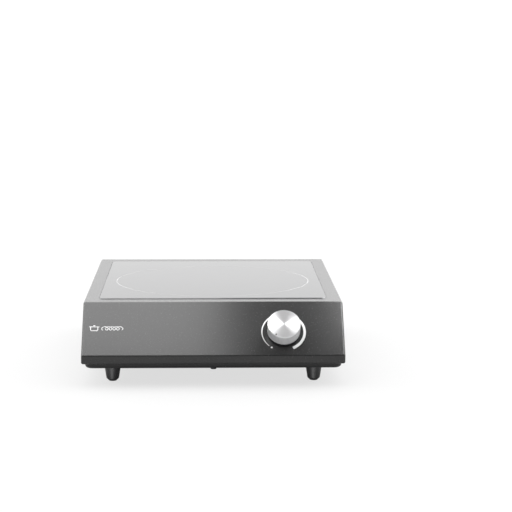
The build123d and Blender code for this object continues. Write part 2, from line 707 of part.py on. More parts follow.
can_points, can_r, can_h, can_edge = [(-8, 34), (-8, 50), (-8, 66)], 5.0, 21.0, 0.8
with BuildPart() as electrolytic_capacitors:
    with BuildSketch(level(board_top)):
        with Locations(can_points):
            Circle(can_r)
    extrude(amount=can_h)
    fillet(electrolytic_capacitors.faces().sort_by(Axis.Z)[-len(can_points) :].edges(), can_edge)
save(electrolytic_capacitors, "electrolytic_capacitors")

# common-mode choke: a ferrite ring with two wire windings
choke_x, choke_y, choke_r, choke_in_r, choke_t, choke_wire = 90.0, 62.0, 17.0, 9.0, 12.0, 1.4
choke_lift, winding_span, winding_turns = 2.5, 124, 9
choke_z = board_top + choke_lift
loop_w, loop_h = choke_r - choke_in_r, choke_t
with BuildPart() as choke_loop:
    with BuildSketch(Plane.XZ):
        with Locations(((choke_r + choke_in_r) / 2, choke_t / 2)):
            RectangleRounded(loop_w + 2 * choke_wire, loop_h + 2 * choke_wire, choke_wire)
            Rectangle(loop_w - choke_wire, loop_h - choke_wire, mode=Mode.SUBTRACT)
    extrude(amount=choke_wire / 2, both=True)
with BuildPart() as mains_choke:
    with BuildSketch(level(choke_z)):
        with Locations((choke_x, choke_y)):
            Circle(choke_r)
            Circle(choke_in_r, mode=Mode.SUBTRACT)
    extrude(amount=choke_t)
    with Locations((choke_x, choke_y, choke_z)):
        for middle in (0, 180):
            with PolarLocations(
                radius=0,
                count=winding_turns,
                start_angle=middle - winding_span / 2,
                angular_range=winding_span,
                endpoint=True,
            ):
                add(choke_loop.part)
save(mains_choke, "mains_choke")

# auxiliary transformer: core with its wound bobbin standing proud on both sides
aux_x, aux_y, aux_w, aux_l, aux_h, aux_leg, bobbin_r = 24.0, 20.0, 28.0, 22.0, 24.0, 3.5, 2.0
bobbin_h = 14.4
with BuildPart() as auxiliary_transformer:
    with BuildSketch(level(board_top)):
        with Locations((aux_x, aux_y)):
            Rectangle(aux_w, aux_l / 2)
    extrude(amount=aux_h)
    with BuildSketch(level(board_top + (aux_h - bobbin_h) / 2)):
        with Locations((aux_x, aux_y)):
            RectangleRounded(aux_w - 2 * aux_leg, aux_l, bobbin_r)
    extrude(amount=bobbin_h)
save(auxiliary_transformer, "auxiliary_transformer")

# ---------------------------------------------------------------- terminals and the coil's leads
lug_h, lug_w, lug_ring_h, lug_ring_r, lug_bore_r = 9.0, 10.0, 4.0, 3.4, 1.9
lug_points = [(inner_lead[0], inner_lead[1] + zone_y), (108.0, 28.0)]
with BuildPart() as coil_terminals:
    with BuildSketch(level(board_top)):
        with Locations(lug_points):
            RectangleRounded(lug_w, lug_w, 1)
    extrude(amount=lug_h)
    with BuildSketch(level(board_top + lug_h)):
        with Locations(lug_points):
            Circle(lug_ring_r)
            Circle(lug_bore_r, mode=Mode.SUBTRACT)
    extrude(amount=lug_ring_h)
save(coil_terminals, "coil_terminals")

lead_wire_r = 1.8
with BuildPart() as coil_leads:
    with BuildLine() as inner_path:
        rise = Line((*lug_points[0], board_top + lug_h), (*lug_points[0], plate_top + 1))
        Spline(rise @ 1, (first_turn_r, zone_y, wire_z), tangents=[rise % 1, (0, 1, 0)])
    with BuildSketch(level(board_top + lug_h)):
        with Locations(lug_points[0]):
            Circle(lead_wire_r)
    sweep(path=inner_path.wires()[0])
    with BuildLine() as outer_path:
        Spline(
            (*lug_points[1], board_top + lug_h),
            (outer_lead[0], outer_lead[1] + zone_y, plate_bottom),
            (coil_end_x, zone_y, wire_z),
            tangents=[(0, 0, 1), (0, 0, 1), (0, -1, 0)],
        )
    with BuildSketch(level(board_top + lug_h)):
        with Locations(lug_points[1]):
            Circle(lead_wire_r)
    sweep(path=outer_path.wires()[0])
save(coil_leads, "coil_leads")

# ---------------------------------------------------------------- control board behind the panel
pot_side, pot_corner_r, pot_top, pot_bottom = 17.0, 2.0, -sheet, -9.8
control_t, control_w, control_l, control_corner_r = 1.6, 96.0, 38.0, 2.0
control_x, control_post_in, control_post_r, control_thread = -22.0, 5.0, 3.2, 5.0
control_back = pot_bottom - control_t
control_post_points = [
    (control_x + i * (control_w / 2 - control_post_in), j * (control_l / 2 - control_post_in))
    for i in (-1, 1)
    for j in (-1, 1)
]

with BuildPart() as control_board:
    with BuildSketch(knob_plane.offset(control_back)):
        with Locations((control_x, 0)):
            RectangleRounded(control_w, control_l, control_corner_r)
        with Locations(control_post_points):
            Circle(m3_r + hole_room, mode=Mode.SUBTRACT)
    extrude(amount=control_t)
save(control_board, "control_board")

with BuildPart() as control_posts:
    with BuildSketch(knob_plane.offset(pot_bottom)):
        with Locations(control_post_points):
            RegularPolygon(control_post_r, 6)
            Circle(m3_r + clear, mode=Mode.SUBTRACT)
    extrude(amount=pot_top - pot_bottom)
save(control_posts, "control_posts")

control_seat, control_screw_l = knob_plane.offset(control_back), control_t + control_thread
pan_screws("control_screws", control_post_points, control_seat, control_screw_l, m3_r, -1, *small_head)

# ---------------------------------------------------------------- potentiometer
shaft_r, bush_r, bush_top, flat_cut = 3.0, 3.5, 4.5, 1.5
wiper_r, wiper_t, wiper_room, pot_back_t = 6.0, 1.0, 0.6, 1.5
chamber_h, shaft_tail = 4.4, 0.8
chamber_z = pot_bottom + pot_back_t
wiper_z = chamber_z + (chamber_h - wiper_t) / 2
with BuildPart() as potentiometer_body:
    with BuildSketch(knob_plane.offset(pot_bottom)):
        RectangleRounded(pot_side, pot_side, pot_corner_r)
    extrude(amount=pot_top - pot_bottom)
    with BuildSketch(knob_plane.offset(pot_top)):
        Circle(bush_r)
    extrude(amount=bush_top - pot_top)
    with BuildSketch(knob_plane.offset(chamber_z)):
        Circle(wiper_r + wiper_room)
    extrude(amount=chamber_h, mode=Mode.SUBTRACT)
    with BuildSketch(knob_plane.offset(chamber_z)):
        Circle(shaft_r + turning)
    extrude(amount=bush_top - pot_bottom, mode=Mode.SUBTRACT)
save(potentiometer_body, "potentiometer_body")

bush_nut_r, bush_nut_h = 5.0, 2.2
with BuildPart() as bushing_nut:
    with BuildSketch(knob_plane):
        RegularPolygon(bush_nut_r, 6, major_radius=False)
        Circle(bush_r + clear, mode=Mode.SUBTRACT)
    extrude(amount=bush_nut_h)
save(bushing_nut, "bushing_nut")

socket_start, socket_end, shaft_end = 5.2, 15.0, 14.5  # the insert's D-shaped socket and the shaft in it
with BuildPart() as potentiometer_shaft:
    with BuildSketch(knob_plane.offset(wiper_z - shaft_tail)):
        Circle(shaft_r)
    extrude(amount=shaft_end - wiper_z + shaft_tail)
    with BuildSketch(knob_plane.offset(wiper_z)):
        Circle(wiper_r)
    extrude(amount=wiper_t)
    with BuildSketch(knob_plane.offset(socket_start)):
        with Locations((0, 2 * shaft_r - flat_cut)):
            Rectangle(2 * shaft_r, 2 * shaft_r)
    extrude(amount=shaft_end, mode=Mode.SUBTRACT)
save(potentiometer_shaft, "potentiometer_shaft")

# ---------------------------------------------------------------- power knob
skirt_z, skirt_t, skirt_beyond, knob_wall, knob_face_t, knob_edge = 0.6, 2.8, 0.3, 2.0, 2.5, 0.8
knurl_count, knurl_r, knurl_depth, knurl_foot, knurl_head = 64, 0.8, 0.5, 0.8, 1.6
pointer_in, pointer_l, pointer_w, pointer_depth = 2.1, 2.6, 1.4, 0.4
cap_bottom = skirt_z + skirt_t
with BuildPart() as knob_cap:
    with BuildSketch(knob_plane.offset(cap_bottom)):
        Circle(knob_r)
    extrude(amount=knob_h - cap_bottom)
    chamfer(knob_cap.edges().filter_by(GeomType.CIRCLE).sort_by(Axis.Y)[0], knob_edge)
    with BuildSketch(knob_plane.offset(cap_bottom)):
        Circle(knob_r - knob_wall)
    extrude(amount=knob_h - knob_face_t - cap_bottom, mode=Mode.SUBTRACT)
    # straight knurl around the wall
    with BuildSketch(knob_plane.offset(cap_bottom + knurl_foot)):
        with PolarLocations(knob_r + knurl_r - knurl_depth, knurl_count):
            Circle(knurl_r)
    extrude(amount=knob_h - knurl_head - cap_bottom - knurl_foot, mode=Mode.SUBTRACT)
    # pointer groove in the face
    with BuildSketch(knob_plane.offset(knob_h)):
        with PolarLocations(knob_r - pointer_in, 1, start_angle=pointer_angle):
            SlotOverall(pointer_l, pointer_w)
    extrude(amount=-pointer_depth, mode=Mode.SUBTRACT)
save(knob_cap, "knob_cap")

plug_in_cap, boss_r, nut_room_r, hollow_out_r, hollow_in_r, hollow_h = 5.0, 6.5, 7.2, 16.5, 9.0, 5.0
socket_room, socket_roof = 0.02, 0.5
with BuildPart() as knob_insert:
    with BuildSketch(knob_plane.offset(skirt_z)):
        Circle(knob_r + skirt_beyond)
    extrude(amount=skirt_t)
    with BuildSketch(knob_plane.offset(cap_bottom)):
        Circle(knob_r - knob_wall)
    extrude(amount=plug_in_cap)
    with BuildSketch(knob_plane.offset(cap_bottom)):
        Circle(boss_r)
    extrude(amount=socket_end + socket_roof - cap_bottom)
    # room over the bushing nut, and a ring-shaped hollow that saves material
    with BuildSketch(knob_plane.offset(skirt_z)):
        Circle(nut_room_r)
    extrude(amount=socket_start - skirt_z, mode=Mode.SUBTRACT)
    with BuildSketch(knob_plane.offset(skirt_z)):
        Circle(hollow_out_r)
        Circle(hollow_in_r, mode=Mode.SUBTRACT)
    extrude(amount=hollow_h, mode=Mode.SUBTRACT)
    with BuildSketch(knob_plane.offset(socket_start)):
        Circle(shaft_r + socket_room)
        with Locations((0, 2 * shaft_r - flat_cut + socket_room)):
            Rectangle(2 * shaft_r, 2 * shaft_r, mode=Mode.SUBTRACT)
    extrude(amount=socket_end, mode=Mode.SUBTRACT)
save(knob_insert, "knob_insert")

cable_r, cable_side, cable_out, cable_over_board = 2.2, -50.0, 12.0, 8.0
cable_x, cable_land_y, cable_end_y = board_x - board_w / 2 + 6, -100.0, -62.0
with BuildPart() as control_cable:
    cable_start = knob_plane.from_local_coords((cable_side, 0, control_back))
    cable_dive = knob_plane.from_local_coords((cable_side, 0, control_back - cable_out))
    cable_land = (cable_x, cable_land_y, board_top + cable_over_board)
    with BuildLine() as cable_path:
        out = Line(cable_start, cable_dive)
        Spline(out @ 1, cable_land, tangents=[out % 1, (0, 1, 0)])
        Line(cable_land, (cable_x, cable_end_y, board_top + cable_over_board))
    with BuildSketch(Plane(origin=cable_start, z_dir=-knob_plane.z_dir)):
        Circle(cable_r)
    sweep(path=cable_path.wires()[0])
save(control_cable, "control_cable")

# ---------------------------------------------------------------- mains cord, its grip and its plug
cord_r, cord_bend, cord_off_table, cord_hold = 3.75, 11.0, 1.0, 0.05
collar_r, collar_t, tail_r, tail_end_r, tail_l = 10.5, 3.5, 8.0, 5.6, 26.0
barb_r, barb_t = 9.0, 2.5
rib_count, rib_first, rib_pitch, rib_gap, rib_core_r, rib_taper = 4, 4.0, 5.5, 2.0, 6.6, 0.4
grip_plane = Plane(origin=(cord_x, rear_y, cord_z), x_dir=(-1, 0, 0), z_dir=(0, 1, 0))
with BuildPart() as cord_grip:
    with BuildSketch(grip_plane):
        Circle(collar_r)
    extrude(amount=collar_t)
    with BuildSketch(grip_plane.offset(collar_t)):
        Circle(tail_r)
    with BuildSketch(grip_plane.offset(collar_t + tail_l)):
        Circle(tail_end_r)
    loft()
    with BuildSketch(grip_plane):
        Circle(gland_hole_r - clear)
    extrude(amount=-sheet)
    with BuildSketch(grip_plane.offset(-sheet)):
        Circle(barb_r)
    extrude(amount=-barb_t)
    with BuildSketch(grip_plane.offset(collar_t + tail_l)):
        Circle(cord_r + cord_hold)
    extrude(amount=-(collar_t + tail_l + sheet + barb_t), mode=Mode.SUBTRACT)
    for rib in range(rib_count):
        with BuildSketch(grip_plane.offset(collar_t + rib_first + rib * rib_pitch)):
            Circle(collar_r)
            Circle(rib_core_r - rib * rib_taper, mode=Mode.SUBTRACT)
        extrude(amount=rib_gap, mode=Mode.SUBTRACT)
save(cord_grip, "cord_grip")

# the cord is folded into a flat bundle behind the casing, with the plug on its last row
cord_low = table_z + cord_r + cord_off_table
bundle_back, row_gap, row_half, rows, cord_inside, cord_drop_l = 62.0, 0.4, 92.0, 5, 18.0, 24.0
row_first, row_pitch = rear_y + bundle_back, 2 * cord_bend + row_gap
cord_inner_y, cord_drop_y = rear_y - cord_inside, row_first - cord_drop_l
plug_w, plug_t, plug_l, plug_lift, plug_out = 38.0, 27.0, 44.0, 0.3, 20.0
plug_x, plug_y = -row_half - plug_out, row_first + (rows - 1) * row_pitch
plug_z = table_z + plug_t / 2 + plug_lift
plug_ramp, plug_level, plug_bore = 36.0, 2.0, 12.0
cord_points = [
    (cord_x, cord_inner_y, cord_z),
    (cord_x, cord_drop_y, cord_z),
    (cord_x, row_first, cord_low),
    (-row_half, row_first, cord_low),
]
for row in range(1, rows):
    side = -1 if row % 2 == 1 else 1
    row_y = row_first + row * row_pitch
    cord_points.append((side * row_half, row_y, cord_low))
    if row < rows - 1:
        cord_points.append((-side * row_half, row_y, cord_low))
cord_points += [
    (plug_x + plug_ramp, plug_y, cord_low),
    (plug_x + plug_level, plug_y, plug_z),
    (plug_x - plug_bore, plug_y, plug_z),
]

with BuildPart() as power_cord:
    with BuildLine() as cord_path:
        FilletPolyline(*cord_points, radius=cord_bend)
    with BuildSketch(Plane(origin=cord_points[0], z_dir=(0, 1, 0))):
        Circle(cord_r)
    sweep(path=cord_path.wires()[0])
save(power_cord, "power_cord")

tie_t, tie_w, tie_gap, tie_corner_r = 0.8, 5.0, 0.1, 2.2
tie_head_w, tie_head_l, tie_head_h = 8.0, 7.0, 4.5
bundle_l, bundle_t = (rows - 1) * row_pitch + 2 * (cord_r + tie_gap), 2 * (cord_r + tie_gap)
bundle_y = row_first + (rows - 1) * row_pitch / 2
with BuildPart() as cable_tie:
    with BuildSketch(Plane.YZ):
        with Locations((bundle_y, cord_low)):
            RectangleRounded(bundle_l + 2 * tie_t, bundle_t + 2 * tie_t, tie_corner_r + tie_t)
            RectangleRounded(bundle_l, bundle_t, tie_corner_r, mode=Mode.SUBTRACT)
    extrude(amount=tie_w / 2, both=True)
    with BuildSketch(level(cord_low + (bundle_t + tie_t) / 2)):
        with Locations((0, bundle_y + row_pitch / 2)):
            RectangleRounded(tie_head_w, tie_head_l, 1)
    extrude(amount=tie_head_h)
save(cable_tie, "cable_tie")

plug_plane = Plane(origin=(plug_x, plug_y, plug_z), x_dir=(0, 1, 0), z_dir=(-1, 0, 0))
plug_waist_l, plug_shoulder_l, plug_waist = 20.0, 26.0, 0.8
plug_neck_r, plug_corner_r, plug_edge = 6.0, 7.0, 1.2
pin_pitch, plug_pin_r, plug_pin_l, pin_root, pin_tip = 19.0, 2.4, 19.0, 10.0, 1.2
with BuildPart() as plug_body:
    with BuildSketch(plug_plane):
        Circle(plug_neck_r)
    with BuildSketch(plug_plane.offset(plug_waist_l)):
        RectangleRounded(plug_w * plug_waist, plug_t * plug_waist, plug_corner_r)
    loft()
    with BuildSketch(plug_plane.offset(plug_waist_l)):
        RectangleRounded(plug_w * plug_waist, plug_t * plug_waist, plug_corner_r)
    with BuildSketch(plug_plane.offset(plug_shoulder_l)):
        RectangleRounded(plug_w, plug_t, plug_corner_r)
    loft()
    with BuildSketch(plug_plane.offset(plug_shoulder_l)):
        RectangleRounded(plug_w, plug_t, plug_corner_r)
    extrude(amount=plug_l - plug_shoulder_l)
    fillet(plug_body.faces().sort_by(Axis.X)[0].edges(), plug_edge)
    with BuildSketch(plug_plane):
        Circle(cord_r)
    extrude(amount=plug_bore, mode=Mode.SUBTRACT)
    with BuildSketch(plug_plane.offset(plug_l)):
        with GridLocations(pin_pitch, 0, 2, 1):
            Circle(plug_pin_r)
    extrude(amount=-pin_root, mode=Mode.SUBTRACT)
save(plug_body, "plug_body")

with BuildPart() as plug_pins:
    with BuildSketch(plug_plane.offset(plug_l - pin_root)):
        with GridLocations(pin_pitch, 0, 2, 1):
            Circle(plug_pin_r)
    extrude(amount=plug_pin_l + pin_root)
    fillet(plug_pins.faces().sort_by(Axis.X)[:2].edges(), pin_tip)
save(plug_pins, "plug_pins")

# ---------------------------------------------------------------- mains terminals and inner wires
block_x, block_y, block_w, block_l, block_h, block_pitch = 86.0, 104.0, 34.0, 12.0, 14.0, 10.0
screw_well_r, screw_well_depth, entry_r, entry_h, entry_depth = 2.6, 4.0, 1.7, 5.0, 6.0
with BuildPart() as terminal_block:
    with BuildSketch(level(board_top)):
        with Locations((block_x, block_y)):
            RectangleRounded(block_w, block_l, 1)
    extrude(amount=block_h)
    with BuildSketch(level(board_top + block_h)):
        with Locations((block_x, block_y)):
            with GridLocations(block_pitch, 0, 3, 1):
                Circle(screw_well_r)
    extrude(amount=-screw_well_depth, mode=Mode.SUBTRACT)
    with BuildSketch(Plane.XZ.offset(-block_y - block_l / 2)):
        with Locations((block_x, board_top + entry_h)):
            with GridLocations(block_pitch, 0, 3, 1):
                Circle(entry_r)
    extrude(amount=entry_depth, mode=Mode.SUBTRACT)
save(terminal_block, "terminal_block")

wire_core_r, core_in_block, core_straight = 1.4, 4.0, 8.0
cord_cores = [(-1.7, -0.9), (0.0, 1.9), (1.7, -0.9)]  # the three cores where the sheath ends
with BuildPart() as mains_leads:
    for step, (core_x, core_z) in enumerate(cord_cores):
        wire_x = block_x + (step - 1) * block_pitch
        in_block = (wire_x, block_y + block_l / 2 - core_in_block, board_top + entry_h)
        mouth = (wire_x, block_y + block_l / 2 + core_straight, board_top + entry_h)
        at_cord = (cord_x + core_x, cord_inner_y, cord_z + core_z)
        with BuildLine() as lead_path:
            Line(in_block, mouth)
            Spline(mouth, at_cord, tangents=[(0, 1, 0), (0, 1, 0)])
        with BuildSketch(Plane(origin=in_block, z_dir=(0, 1, 0))):
            Circle(wire_core_r)
        sweep(path=lead_path.wires()[0])
save(mains_leads, "mains_leads")
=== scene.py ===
"""Looks of the table-top induction hob: finishes for every CAD node, the printed marks, camera and light."""

import json
import math

import bmesh
import bpy
from mathutils import Euler, Matrix, Vector


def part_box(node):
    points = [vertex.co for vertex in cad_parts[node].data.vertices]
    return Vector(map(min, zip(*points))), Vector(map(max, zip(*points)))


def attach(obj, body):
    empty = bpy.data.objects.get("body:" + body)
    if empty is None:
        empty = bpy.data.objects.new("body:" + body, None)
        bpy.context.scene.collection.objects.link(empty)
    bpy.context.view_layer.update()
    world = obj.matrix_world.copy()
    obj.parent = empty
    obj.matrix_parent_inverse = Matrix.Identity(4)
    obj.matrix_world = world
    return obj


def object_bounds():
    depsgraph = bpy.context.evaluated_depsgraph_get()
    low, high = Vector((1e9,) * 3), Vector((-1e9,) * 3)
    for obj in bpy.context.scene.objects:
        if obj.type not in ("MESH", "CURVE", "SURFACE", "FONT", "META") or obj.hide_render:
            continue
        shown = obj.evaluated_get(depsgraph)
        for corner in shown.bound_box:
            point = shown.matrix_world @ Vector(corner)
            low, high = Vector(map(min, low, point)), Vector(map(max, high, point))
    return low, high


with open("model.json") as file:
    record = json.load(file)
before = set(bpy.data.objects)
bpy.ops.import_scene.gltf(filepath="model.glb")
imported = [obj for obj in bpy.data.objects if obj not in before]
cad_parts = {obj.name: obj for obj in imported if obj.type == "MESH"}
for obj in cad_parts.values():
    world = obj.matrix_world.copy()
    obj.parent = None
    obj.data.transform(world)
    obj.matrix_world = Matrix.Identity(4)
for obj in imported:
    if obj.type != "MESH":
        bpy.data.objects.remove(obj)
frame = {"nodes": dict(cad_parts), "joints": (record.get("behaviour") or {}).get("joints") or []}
cad_box = [list(corner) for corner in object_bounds()]
nodes = frame["nodes"]
mm = 0.001

# ---------------------------------------------------------------- places worked out from the frame
knob_joint = next(j for j in frame["joints"] if j["name"] == "knob_turn")
knob_at = Vector(knob_joint["pos_m"])
knob_out = -Vector(knob_joint["axis"]).normalized()
casing_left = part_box("upper_casing")[0][0]
sensor_low, sensor_high = (Vector(corner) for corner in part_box("temperature_sensor"))
zone_at = (sensor_low + sensor_high) / 2
zone_at.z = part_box("glass_plate")[1][2]
table_z = cad_box[0][2]
feet = [name for name in nodes if name.startswith(("foot_front", "foot_rear"))]


def plane_frame(origin, normal):
    """Matrix of a flat surface: local x to the user's right, local y up the surface, local z out of it."""
    x = Vector((1, 0, 0))
    z = normal.normalized()
    y = z.cross(x)
    return Matrix.Translation(origin) @ Matrix((x, y, z)).transposed().to_4x4()


panel = plane_frame(knob_at, knob_out)
glass_top = plane_frame(zone_at, Vector((0, 0, 1)))


# ---------------------------------------------------------------- node graphs
class Graph:
    """A material's node tree, with short calls for the nodes used here."""

    def __init__(self, name):
        self.material = bpy.data.materials.new(name)
        self.material.use_nodes = True
        self.tree = self.material.node_tree
        self.shader = self.tree.nodes["Principled BSDF"]
        self.coords = self.node("ShaderNodeTexCoord").outputs["Object"]

    def put(self, socket, value):
        """Links a socket to the input, or sets the input's value."""
        if isinstance(value, bpy.types.NodeSocket):
            self.tree.links.new(value, socket)
        elif socket.type == "RGBA" and len(value) == 3:
            socket.default_value = (*value, 1)
        else:
            socket.default_value = value

    def node(self, kind, settings=None, **inputs):
        """A new node with these properties and inputs."""
        made = self.tree.nodes.new(kind)
        for name, value in (settings or {}).items():
            setattr(made, name, value)
        for name, value in inputs.items():
            self.put(made.inputs[name.replace("_", " ")], value)
        return made

    def surface(self, **inputs):
        """Sets inputs of the Principled shader."""
        for name, value in inputs.items():
            self.put(self.shader.inputs[name.replace("_", " ")], value)

    def math(self, operation, a, b=0.0, clamp=False):
        made = self.node("ShaderNodeMath", {"operation": operation, "use_clamp": clamp})
        self.put(made.inputs[0], a)
        self.put(made.inputs[1], b)
        return made.outputs[0]

    def vector(self, operation, a, b=(0, 0, 0)):
        made = self.node("ShaderNodeVectorMath", {"operation": operation})
        self.put(made.inputs[0], a)
        self.put(made.inputs[1], b)
        return made.outputs["Value" if operation in ("DOT_PRODUCT", "LENGTH") else "Vector"]

    def noise(self, size, detail=3.0, roughness=0.55, stretch=(1, 1, 1), coords=None):
        """Noise whose features are about size metres across, from 0 to 1."""
        scaled = self.node("ShaderNodeMapping", Vector=coords or self.coords, Scale=stretch)
        made = self.node(
            "ShaderNodeTexNoise",
            Vector=scaled.outputs["Vector"],
            Scale=1 / size,
            Detail=detail,
            Roughness=roughness,
        )
        return made.outputs["Fac"]

    def cells(self, size):
        """Distance from scattered points about size metres apart."""
        return self.node("ShaderNodeTexVoronoi", Vector=self.coords, Scale=1 / size).outputs["Distance"]

    def remap(self, value, low, high, to_low, to_high):
        """Carries the stretch from low to high over to another stretch, and clamps there."""
        made = self.node("ShaderNodeMapRange", Value=value)
        for name, number in zip(("From Min", "From Max", "To Min", "To Max"), (low, high, to_low, to_high)):
            self.put(made.inputs[name], number)
        return made.outputs["Result"]

    def blend(self, amount, first, second):
        """Mixes two colours."""
        made = self.node("ShaderNodeMix", {"data_type": "RGBA"})
        self.put(made.inputs["Factor"], amount)
        for socket, value in zip([i for i in made.inputs if i.type == "RGBA"], (first, second)):
            self.put(socket, value)
        return next(o for o in made.outputs if o.type == "RGBA")

    def bump(self, height, distance, strength=1.0):
        """Relief whose full height is distance metres."""
        made = self.node("ShaderNodeBump", Height=height, Strength=strength, Distance=distance)
        self.put(self.shader.inputs["Normal"], made.outputs["Normal"])

    def edge(self, radius):
        """1 on edges that are sharper than the radius, 0 on flat places."""
        soft = self.node("ShaderNodeBevel", {"samples": 6}, Radius=radius).outputs["Normal"]
        hard = self.node("ShaderNodeNewGeometry").outputs["Normal"]
        return self.remap(self.vector("DOT_PRODUCT", soft, hard), 0.97, 0.75, 0, 1)


# ---------------------------------------------------------------- finishes
def powder_coat(name, shadow_dimming, ior):
    """Satin anthracite powder coat: fine orange peel, a trace of metal flake, and bends paled toward a
    lighter grey as a painted highlight. Below 1 the dimming argument darkens the base colour as painted
    shade.
    """
    g = Graph(name)
    cloud = g.noise(0.06, detail=2)
    flake = g.remap(g.cells(0.5 * mm), 0.0, 0.35, 1, 0)
    # painted shade: the base colour is scaled by the dimming argument, which is 0.5 on the tray
    base = g.blend(cloud, (0.024 * shadow_dimming,) * 3, (0.031 * shadow_dimming,) * 3)
    base = g.blend(g.math("MULTIPLY", flake, 0.07), base, (0.12, 0.12, 0.125))
    # painted highlight: the bends are paled a quarter of the way toward a lighter grey
    base = g.blend(g.math("MULTIPLY", g.edge(1.6 * mm), 0.25), base, (0.085, 0.085, 0.088))
    rough = g.remap(g.noise(1.4 * mm, detail=2), 0.3, 0.7, 0.22, 0.28)
    g.surface(Base_Color=base, Roughness=rough, IOR=ior)
    g.bump(g.noise(0.9 * mm, detail=2), 0.02 * mm)
    return g.material


def black_glass():
    """Polished glass ceramic, nearly black, with faint wipe marks in its gloss and a ground, paler edge."""
    g = Graph("black_glass_ceramic")
    wipes = g.noise(0.03, detail=4, stretch=(1, 0.25, 1))
    speck = g.remap(g.cells(2.4 * mm), 0.0, 0.05, 1, 0)
    base = g.blend(g.noise(0.05), (0.006, 0.006, 0.007), (0.010, 0.010, 0.0115))
    base = g.blend(g.math("MULTIPLY", speck, 0.12), base, (0.12, 0.12, 0.12))
    upward = g.vector("DOT_PRODUCT", g.node("ShaderNodeNewGeometry").outputs["True Normal"], (0, 0, 1))
    ground = g.remap(upward, 0.4, 0.8, 1, 0)
    base = g.blend(ground, base, (0.36, 0.36, 0.37))
    rough = g.math("ADD", g.remap(wipes, 0.3, 0.75, 0.045, 0.085), g.math("MULTIPLY", ground, 0.4))
    g.surface(Base_Color=base, Roughness=rough, IOR=1.53)
    g.bump(g.noise(0.12, detail=1), 0.01 * mm, 0.3)
    return g.material


def enamel_print(name, dark, light):
    """Fired enamel of the printed marks."""
    g = Graph(name)
    grain = g.noise(0.35 * mm, detail=2)
    g.surface(
        Base_Color=g.blend(grain, (dark,) * 3, (light,) * 3),
        Roughness=g.remap(grain, 0.3, 0.7, 0.42, 0.55),
    )
    g.bump(grain, 0.01 * mm)
    return g.material


def pointer_paint():
    """Dark paint in the knob's pointer groove."""
    g = Graph("dark_pointer_paint")
    grain = g.noise(0.4 * mm)
    g.surface(Base_Color=g.blend(grain, (0.012, 0.012, 0.013), (0.03, 0.03, 0.03)), Roughness=0.5)
    g.bump(grain, 0.02 * mm)
    return g.material


def spun_aluminium():
    """Turned aluminium: fine rings round the knob's axis, and highlights that fan out from its centre."""
    g = Graph("spun_aluminium")
    from_centre = g.vector("SUBTRACT", g.coords, tuple(knob_at))
    along = g.vector("DOT_PRODUCT", from_centre, tuple(knob_out))
    across = g.vector("CROSS_PRODUCT", from_centre, tuple(knob_out))
    radius = g.vector("LENGTH", across)
    outward = g.vector("CROSS_PRODUCT", tuple(knob_out), across)
    groove = g.node("ShaderNodeCombineXYZ", X=radius, Y=0.0, Z=g.math("MULTIPLY", along, 0.2))
    rings = g.noise(0.14 * mm, detail=4, roughness=0.7, coords=groove.outputs["Vector"])
    wide = g.noise(0.9 * mm, detail=2, coords=groove.outputs["Vector"])
    tint = g.blend(rings, (0.66, 0.66, 0.67), (0.82, 0.82, 0.82))
    tint = g.blend(g.math("MULTIPLY", wide, 0.3), tint, (0.56, 0.56, 0.57))
    tangent = g.node(
        "ShaderNodeVectorTransform",
        {"vector_type": "VECTOR", "convert_from": "OBJECT", "convert_to": "WORLD"},
        Vector=outward,
    )
    facing = g.vector("DOT_PRODUCT", g.node("ShaderNodeNewGeometry").outputs["True Normal"], tuple(knob_out))
    face = g.remap(facing, 0.9, 0.97, 0, 1)
    g.surface(
        Base_Color=tint,
        Metallic=1.0,
        Roughness=g.math("ADD", g.remap(rings, 0.3, 0.7, 0.29, 0.39), g.remap(face, 0, 1, 0.1, 0)),
        Anisotropic=g.math("MULTIPLY", face, 0.85),
        Tangent=g.vector("NORMALIZE", tangent.outputs["Vector"]),
    )
    g.bump(rings, 0.006 * mm)
    return g.material


def metal(name, dark, light, roughness, grain=0.8 * mm, stretch=(1, 1, 1), relief=0.01 * mm):
    """Bare or plated metal with drawn or tumbled grain."""
    g = Graph(name)
    fine = g.noise(grain, detail=4, stretch=stretch)
    stain = g.noise(grain * 12, detail=2)
    tint = g.blend(g.math("MULTIPLY", g.math("ADD", fine, stain), 0.5), dark, light)
    rough = g.remap(fine, 0.3, 0.7, roughness - 0.06, roughness + 0.08)
    g.surface(Base_Color=tint, Metallic=1.0, Roughness=rough)
    g.bump(fine, relief)
    return g.material


def moulded(name, dark, light, roughness, grain=0.6 * mm, relief=0.03 * mm):
    """Moulded plastic with a fine spark-eroded texture."""
    g = Graph(name)
    fine = g.noise(grain, detail=3)
    patch = g.noise(0.03, detail=2)
    g.surface(
        Base_Color=g.blend(g.math("MULTIPLY", g.math("ADD", fine, patch), 0.5), dark, light),
        Roughness=g.remap(fine, 0.3, 0.7, roughness - 0.06, roughness + 0.08),
    )
    g.bump(fine, relief)
    return g.material


def rubber(name, dark, light, roughness=0.55):
    """Soft black rubber: fine moulded grain, a dusty bloom and sharp edges tinted toward a mid grey."""
    g = Graph(name)
    fine = g.noise(0.5 * mm, detail=3)
    bloom = g.noise(6 * mm, detail=3)
    tint = g.blend(bloom, dark, light)
    g.surface(
        # sharp edges are blended a fifth of the way toward a mid grey
        Base_Color=g.blend(g.math("MULTIPLY", g.edge(0.8 * mm), 0.2), tint, (0.09, 0.09, 0.09)),
        Roughness=g.remap(fine, 0.3, 0.7, roughness - 0.1, roughness + 0.1),
        Sheen_Weight=0.08,
    )
    g.bump(fine, 0.04 * mm)
    return g.material


